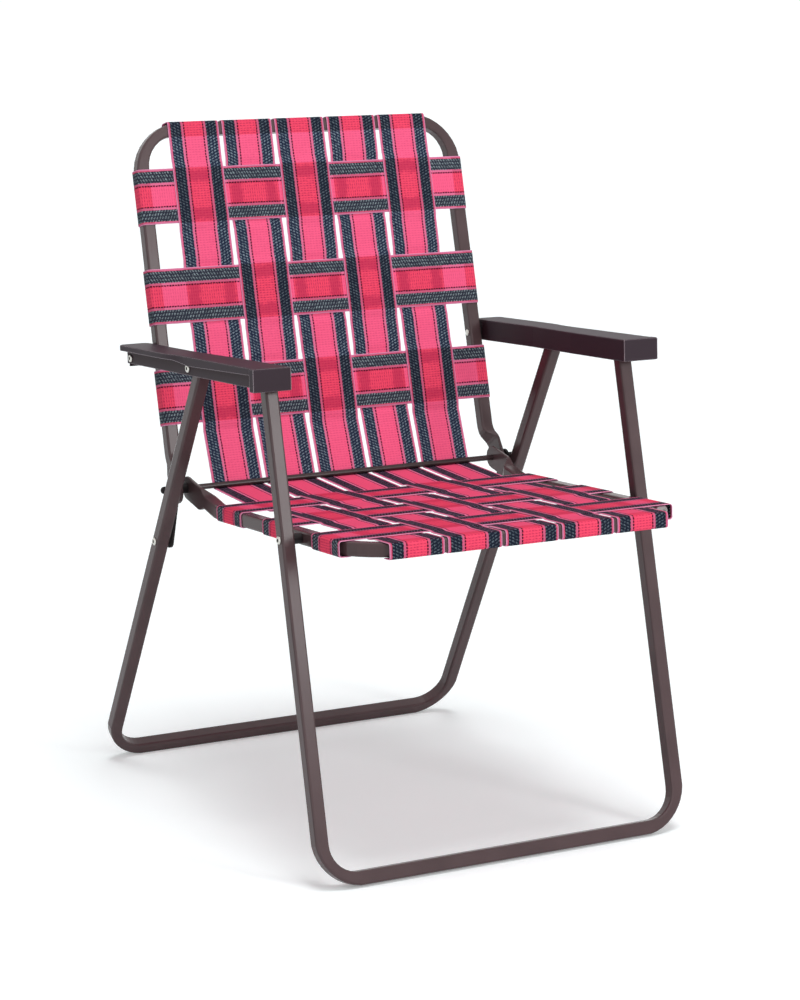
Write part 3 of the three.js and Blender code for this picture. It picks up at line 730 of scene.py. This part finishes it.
def behind_long(before, after):
    for panel in (back, seat):
        (first, low), (last, high) = panel.measure(before), panel.measure(after)
        middle, height = (first + last) / 2, (low + high) / 2
        if abs(height - LEVEL) < 2 * LAYER:
            for row in panel.rows:
                if row < middle < row + STRAP:
                    return ((first - row) / STRAP, (last - row) / STRAP, 1)
        if middle < HALF_TUBE and abs(height) < LEVEL + NEAR_TUBE:
            return TUBE_BEHIND
    return NOTHING_BEHIND


first_path = long_path(0)
backed = [behind_long(a, b)[2] for a, b in zip(first_path, first_path[1:])]
print(sum(backed), "of", len(backed), "faces along the first strap have something behind them")

# %% [markdown]
# ## A strap over the hinge
#
# A long strap crosses the folding hinge. Two rigid pieces would part there when the chair folds.
# Here the strap is one mesh: above the rod it follows the back, in front of it the seat, and the
# short stretch round the rod turns between them.

# %% Weave the long straps
SIDE_TO_SIDE = (1, 0, 0)


def add_long_strap(strap):
    name = f"strap_long_{strap + 1}"
    piece, length = sweep(name, long_path(strap), SIDE_TO_SIDE, behind_long, WEBBING["long"])
    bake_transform(piece)
    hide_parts(f"back_strap_long_{strap + 1}", f"seat_strap_long_{strap + 1}")
    return length


long_lengths = [add_long_strap(strap) for strap in range(LONG_STRAPS)]
print("long straps", [round(length) for length in long_lengths], "mm")

# %% [markdown]
# ## Straps across
#
# The straps across start behind one side tube, come round it and end behind the other. They lie
# flat, and the long straps do the waving, which is how a hand-woven chair looks: the straps across
# are pulled tight first. The back narrows a little towards its top, so each row takes its length
# from its own solid.

# %% Weave the straps across
def cross_path(panel, row, half):
    middle = panel.rows[row] + STRAP / 2
    left = round_tube(half)
    flat = [(x + side * STRAP / 2, LEVEL) for x in LONG_X for side in (-1, 1)]
    right_end = [(-u, n) for u, n in left][::-1]
    return fill_in([panel.at(u, middle, n) for u, n in left + flat + right_end], STEP)


def add_cross_strap(label, panel, row):
    solid = f"{label}_strap_cross_{row + 1}"
    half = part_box(solid)[1].x / MM - LEVEL - THICK / 2

    def behind_cross(before, after):
        middle = (before.x + after.x) / 2
        for x in LONG_X:
            if abs(middle - x) < STRAP / 2:
                return ((before.x - x) / STRAP + 0.5, (after.x - x) / STRAP + 0.5, 1)
        return TUBE_BEHIND if abs(middle) > half - HALF_TUBE else NOTHING_BEHIND

    path = cross_path(panel, row, half)
    name = f"{label}_strap_across_{row + 1}"
    piece, length = sweep(name, path, tuple(panel.along), behind_cross, WEBBING["across"])
    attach(piece, label)
    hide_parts(solid)
    return length


panels = {"back": back, "seat": seat}
places = [(label, row) for label in panels for row in range(ROWS)]
cross_lengths = [add_cross_strap(label, panels[label], row) for label, row in places]
print("straps across", [round(length) for length in cross_lengths], "mm")

# %% [markdown]
# ## Powder coat
#
# The tubes are powder-coated dark brown with a satin shine. Powder coat has a faint orange-peel
# skin. It could be a real displacement, but at a fraction of a millimetre a very shallow bump is
# enough to break up the gloss. A slow cloud of noise varies the tone and the roughness, as handling
# does. The rod and the links are nearly black.

# %% Powder coat
GLOSS_SPREAD = 0.12


def shades(colour, spread):
    return [paint_chart(*[v * share for v in colour]) for share in (1 - spread, 1 + spread)]


def powder_coat(name, colour, roughness, shine):
    g = Graph(name)
    place = g.place()
    cloud = g.noise(place, scale=18.0, detail=3.0)
    peel = g.noise(place, scale=700.0, detail=2.0)
    tone = g.mix(g.step(cloud, 0.3, 0.7), *shades(colour, spread=0.04))
    rough = g.scaled(cloud, times=GLOSS_SPREAD, plus=roughness - GLOSS_SPREAD / 2)
    g.bump(peel, distance=0.06 * MM, strength=0.35)
    return g.finish(Base_Color=tone, Roughness=rough, Specular_IOR_Level=shine)


PAINT = powder_coat("brown powder coat", (76, 58, 60), roughness=0.24, shine=0.28)
ROD_PAINT = powder_coat("dark rod paint", (56, 42, 44), roughness=0.26, shine=0.25)
BLACK_PAINT = powder_coat("black link paint", (30, 24, 26), roughness=0.4, shine=0.15)
print("paints", [paint.name for paint in (PAINT, ROD_PAINT, BLACK_PAINT)])

# %% [markdown]
# ## Moulded armrests
#
# The armrests are moulded, duller than the paint and a little more purple. Their edges get a painted
# highlight, and the recess under the lip gets painted shade. Both could be painted on by hand, but two
# nodes find such places by themselves. Ambient Occlusion tells what is tucked away. Bevel rounds the
# shading near an edge, so where its normal leaves the flat one, there is an edge.

# %% Moulded armrests
# Painted shade in the recess under the lip.
NOOK = 16 * MM
NOOK_SHADE = paint_chart(42, 24, 31)
# A painted highlight along the armrests' outer edges.
HIGHLIGHT_WIDTH = 1.8 * MM
HIGHLIGHT_TONE = paint_chart(158, 145, 152)


# A painted highlight near convex edges, kept out of the shaded recess.
def edge_highlight(g, nook):
    rounded = g.node("ShaderNodeBevel", {"samples": 6}, Radius=HIGHLIGHT_WIDTH).outputs["Normal"]
    flat = g.node("ShaderNodeNewGeometry").outputs["True Normal"]
    same = g.node("ShaderNodeVectorMath", {"operation": "DOT_PRODUCT"})
    g.fill(same.inputs[0], rounded)
    g.fill(same.inputs[1], flat)
    near_edge = g.step(same.outputs["Value"], zero_at=0.985, one_at=0.85)
    return g.times(near_edge, g.step(nook, zero_at=0.9, one_at=0.99))


def moulded(name, colour):
    g = Graph(name)
    place = g.place()
    grain = g.noise(place, scale=1300.0, detail=2.0)
    cloud = g.noise(place, scale=12.0, detail=2.0)
    nook = g.node("ShaderNodeAmbientOcclusion", {"samples": 8}, Distance=NOOK).outputs["AO"]
    tone = g.mix(cloud, *shades(colour, spread=0.05))
    # Painted shade where the recess under the lip is tucked away.
    tone = g.mix(g.step(nook, zero_at=1.0, one_at=0.88), tone, NOOK_SHADE)
    # Painted highlight along the edges.
    tone = g.mix(edge_highlight(g, nook), tone, HIGHLIGHT_TONE)
    rough = g.scaled(grain, times=0.1, plus=0.42)
    g.bump(grain, distance=0.08 * MM, strength=0.4)
    return g.finish(Base_Color=tone, Roughness=rough, Specular_IOR_Level=0.1)


MOULDING = moulded("moulded armrest", (55, 44, 51))
print("the armrests' finish has", len(MOULDING.node_tree.nodes), "nodes")

# %% [markdown]
# ## Bright steel
#
# The rivets are bright steel. A perfect mirror would look like glass beads at this size, so fine
# scratches vary the tone, the roughness and the bump together.

# %% Bright steel
def bright_steel(name):
    g = Graph(name)
    scratches = g.noise(g.place(), scale=700.0, detail=4.0)
    tone = g.mix(scratches, *shades((205, 203, 197), spread=0.1))
    rough = g.scaled(scratches, times=0.25, plus=0.2)
    g.bump(scratches, distance=0.05 * MM, strength=0.3)
    return g.finish(Base_Color=tone, Roughness=rough, Metallic=1.0)


STEEL = bright_steel("bright steel")
print("the rivets' finish has", len(STEEL.node_tree.nodes), "nodes")

# %% [markdown]
# ## Finish the solids
#
# Each solid says which material slot it has, so one loop gives all the hard pieces their finish. The
# solids are faceted. Smooth shading hides the facets on the bends, and weighted normals keep the
# large flat faces flat.

# %% Finish the solids
FINISHES = {
    "paint": PAINT,
    "moulding": MOULDING,
    "steel": STEEL,
    "rod": ROD_PAINT,
    "black": BLACK_PAINT,
}
slots = {part["node"]: part["material_slot"] for part in frame["record"]["subparts"]}
hard_pieces = [name for name in nodes if slots[name] != "webbing"]
for name in hard_pieces:
    piece = nodes[name]
    piece.data.materials.clear()
    piece.data.materials.append(FINISHES[slots[name]])
    piece.data.polygons.foreach_set("use_smooth", [True] * len(piece.data.polygons))
    even = piece.modifiers.new("even shading", "WEIGHTED_NORMAL")
    even.keep_sharp = True
print(len(hard_pieces), "solids finished with", ", ".join(FINISHES))

# %% [markdown]
# ## Turn small parts
#
# The chair's rivets are semi-tubular: the head is a rolled ring with a hollow in its middle, which
# shows as a dark spot in a bright ring. The solids only have a plain dome, so each rivet is made
# again here, turned on its axis like a part on a lathe. A profile is half of the cross-section: how
# far along the axis, and how far from it. A Screw modifier would turn it too, but rings of points
# also say which faces lie in the hollow, and these get a dark paint of their own, as painted shade.

# %% Turn a profile on its axis
ROUND = 40
PINHOLE = 0.2
# The dark paint in the rivets' hollows is painted shade.
HOLLOW_SHADE = powder_coat("painted shade inside the rivets", (24, 20, 21), roughness=0.6, shine=0.05)


def turned_mesh(name, middle, profile):
    vertices = []
    for x, radius in profile:
        for k in range(ROUND):
            turn = 2 * math.pi * k / ROUND
            y, z = middle.y + radius * math.cos(turn), middle.z + radius * math.sin(turn)
            vertices.append(Vector((x, y, z)) * MM)
    mesh = bpy.data.meshes.new(name)
    mesh.from_pydata(vertices, [], ring_faces(len(profile), ROUND))
    made = bmesh.new()
    made.from_mesh(mesh)
    bmesh.ops.recalc_face_normals(made, faces=made.faces)
    made.to_mesh(mesh)
    made.free()
    mesh.polygons.foreach_set("use_smooth", [True] * len(mesh.polygons))
    return mesh


def shade_hollow(mesh, rings):
    mesh.materials.append(HOLLOW_SHADE)
    start_cap = len(mesh.polygons) - 2
    for index in [*range(rings * ROUND), start_cap]:
        mesh.polygons[index].material_index = 1


def turned(name, solid, profile, finish, body, hollow_rings=0):
    mesh = turned_mesh(name, centre(solid), profile)
    mesh.materials.append(finish)
    if hollow_rings:
        shade_hollow(mesh, hollow_rings)
    piece = bpy.data.objects.new(name, mesh)
    bpy.context.scene.collection.objects.link(piece)
    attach(piece, body)
    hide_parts(solid)


def ends_of(solid):
    low, high = [corner.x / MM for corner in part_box(solid)]
    return (-1, low, high) if low + high < 0 else (1, high, low)


print("turned parts have", ROUND, "points a ring")

# %% [markdown]
# ## Rivets
#
# A rivet has its rolled head outside, a plain shank through the tubes and, on some, a domed head
# inside. Its ends are found from the solid's box. The profile starts and ends at a tiny pinhole,
# because a ring needs some radius.

# %% The rivets' profile
DOME = 1.7
HOLLOW_WALL = [(0.3, PINHOLE), (0.3, 1.1), (0.7, 1.5), (1.6, 1.9)]
ROLLED_RING = [(1.9, 2.6), (1.8, 3.3), (1.3, 4.1), (0.6, 4.6), (0, 4.7)]
SHANK = 2.5
INNER_HEAD = [(0, 4.2), (0.9, 3.6), (1.5, 2.2), (1.7, PINHOLE)]
HOLLOW_RINGS = len(HOLLOW_WALL) - 1


def add_rivet(solid, body, inner_head):
    side, outer, inner = ends_of(solid)
    face = outer - side * DOME
    inside = inner + side * DOME if inner_head else inner
    profile = [(face + side * out, radius) for out, radius in HOLLOW_WALL + ROLLED_RING]
    profile += [(face, SHANK), (inside, SHANK)]
    if inner_head:
        profile += [(inside - side * out, radius) for out, radius in INNER_HEAD]
    else:
        profile += [(inside, PINHOLE)]
    turned(f"{solid}_turned", solid, profile, FINISHES["steel"], body, hollow_rings=HOLLOW_RINGS)


print("a rivet's head is", 2 * ROLLED_RING[-1][1], "mm wide")

# %% [markdown]
# ## Rod caps
#
# The rod's ends carry pressed caps, dark and rounded, which stick out beyond the rear legs. Each is
# a thin cup over the rod.

# %% The caps' profile
CAP_REACH = 4.5
CAP_WALL = 1.0
CAP_DOME = [(0, PINHOLE), (0.3, 1.8), (1.0, 3.1), (2.2, 4.0), (3.6, 4.4)]


def add_cap(solid, body):
    side, outer, inner = ends_of(solid)
    profile = [(outer + side * (CAP_REACH - depth), radius) for depth, radius in CAP_DOME]
    floor_of_cup = outer - side * CAP_WALL
    bore = ROD_RADIUS + GAP
    profile += [(inner, bore + CAP_WALL), (inner, bore), (floor_of_cup, bore)]
    profile += [(floor_of_cup, PINHOLE)]
    turned(f"{solid}_turned", solid, profile, FINISHES["black"], body)


print("a cap's bore is", 2 * (ROD_RADIUS + GAP), "mm wide")

# %% [markdown]
# ## The chair's rivets and caps
#
# Both sides have the same five rivets and one cap. A small table says which rivets have a head
# inside too, and the record says which body each one rides on.

# %% Turn the rivets and caps
HAS_INNER_HEAD = {
    "arm_rivet": True,
    "seat_rivet": True,
    "rear_leg_rivet": False,
    "front_leg_rivet": False,
    "link_rivet_head": False,
}
bodies = frame["record"]["behaviour"]["bodies"]
body_of = {node: body for body, members in bodies.items() for node in members}
for side in ("left", "right"):
    for kind, inner_head in HAS_INNER_HEAD.items():
        add_rivet(f"{kind}_{side}", body_of[f"{kind}_{side}"], inner_head)
    add_cap(f"rod_cap_{side}", body_of[f"rod_cap_{side}"])
print(2 * len(HAS_INNER_HEAD), "rivets and 2 caps turned")

# %% [markdown]
# ## The floor
#
# The photograph is a studio picture on white, with a soft shadow under the chair. The floor is a
# plain white plane. More lamps would make it white, but they would bleach the chair too. Instead its
# material adds a little light that only the camera, reflections and glass see. So it reads as white
# while it keeps the shadow, and it lights the chair no more than a white floor would. It is a touch
# cool, because the pink straps send a little warm light down into the shadow.

# %% A white floor
WHITE = (1, 1, 1, 1)
FLOOR_GLOW = 0.23
FLOOR_SIZE = 160


def seen_rays(tree):
    path = tree.nodes.new("ShaderNodeLightPath")
    seen = path.outputs["Is Camera Ray"]
    for ray in ("Is Glossy Ray", "Is Transmission Ray"):
        either = tree.nodes.new("ShaderNodeMath")
        either.operation = "MAXIMUM"
        tree.links.new(seen, either.inputs[0])
        tree.links.new(path.outputs[ray], either.inputs[1])
        seen = either.outputs[0]
    return seen


def white_floor():
    g = Graph("white floor")
    strength = g.scaled(seen_rays(g.tree), times=FLOOR_GLOW)
    glow = g.node("ShaderNodeEmission", Color=WHITE, Strength=strength)
    both = g.node("ShaderNodeAddShader")
    g.finish(Base_Color=paint_chart(241, 247, 248), Roughness=0.9, Specular_IOR_Level=0.1)
    g.fill(both.inputs[0], g.shader.outputs[0])
    g.fill(both.inputs[1], glow.outputs[0])
    g.fill(g.tree.nodes["Material Output"].inputs["Surface"], both.outputs[0])
    return g.material


bpy.ops.mesh.primitive_plane_add(size=FLOOR_SIZE)
floor = bpy.context.object
floor.name = "floor"
floor.data.materials.append(white_floor())
print("floor", FLOOR_SIZE, "m wide")

# %% [markdown]
# ## The room
#
# The world is a white room. It looks fully white to the camera and in reflections, but lights the
# chair with little more than a third of that, so the lamps can still model its form.

# %% A white room
ROOM_LIGHTS = 0.37
ROOM_LOOKS = 1.0

world = bpy.data.worlds.new("white room")
bpy.context.scene.world = world
world.use_nodes = True
tree = world.node_tree
background = tree.nodes["Background"]
background.inputs["Color"].default_value = WHITE
strength = tree.nodes.new("ShaderNodeMapRange")
strength.inputs["To Min"].default_value = ROOM_LIGHTS
strength.inputs["To Max"].default_value = ROOM_LOOKS
tree.links.new(seen_rays(tree), strength.inputs["Value"])
tree.links.new(strength.outputs["Result"], background.inputs["Strength"])
print("the room lights with", ROOM_LIGHTS, "and looks", ROOM_LOOKS)

# %% [markdown]
# ## The lamps
#
# Two lamps are suns with a wide angle: they light a floor evenly out to the horizon, where a lamp
# nearby would leave a bright pool. One is nearly overhead and a little in front, so that the shadow
# lies between the legs and towards the rear bar. The other is weak, low and in front. A tall
# softbox on the right makes the long highlight down the left leg.

# %% Set up the lamps
def wide_sun(name, place, spread, strength):
    light = bpy.data.objects.new(name, bpy.data.lights.new(name, "SUN"))
    light.data.angle = math.radians(spread)
    light.data.energy = strength
    light.location = place
    light.rotation_euler = Vector(place).to_track_quat("Z", "Y").to_euler()
    bpy.context.scene.collection.objects.link(light)


def softbox(name, place, target, width, height, power):
    light = bpy.data.objects.new(name, bpy.data.lights.new(name, "AREA"))
    light.data.shape = "RECTANGLE"
    light.data.size, light.data.size_y = width, height
    light.data.energy = power
    light.location = place
    light.rotation_euler = (Vector(place) - Vector(target)).to_track_quat("Z", "Y").to_euler()
    light.visible_camera = False
    bpy.context.scene.collection.objects.link(light)


wide_sun("top", (0.0, -0.5, 3.0), spread=24, strength=1.5)
wide_sun("front", (-0.6, -2.6, 1.1), spread=60, strength=0.55)
softbox("strip", (1.0, -2.4, 1.2), target=(0, 0, 0.4), width=0.5, height=1.1, power=18)
bpy.context.scene.view_settings.view_transform = "Standard"

# %% [markdown]
# ## The size
#
# The dressed chair must stay as big as the solids.
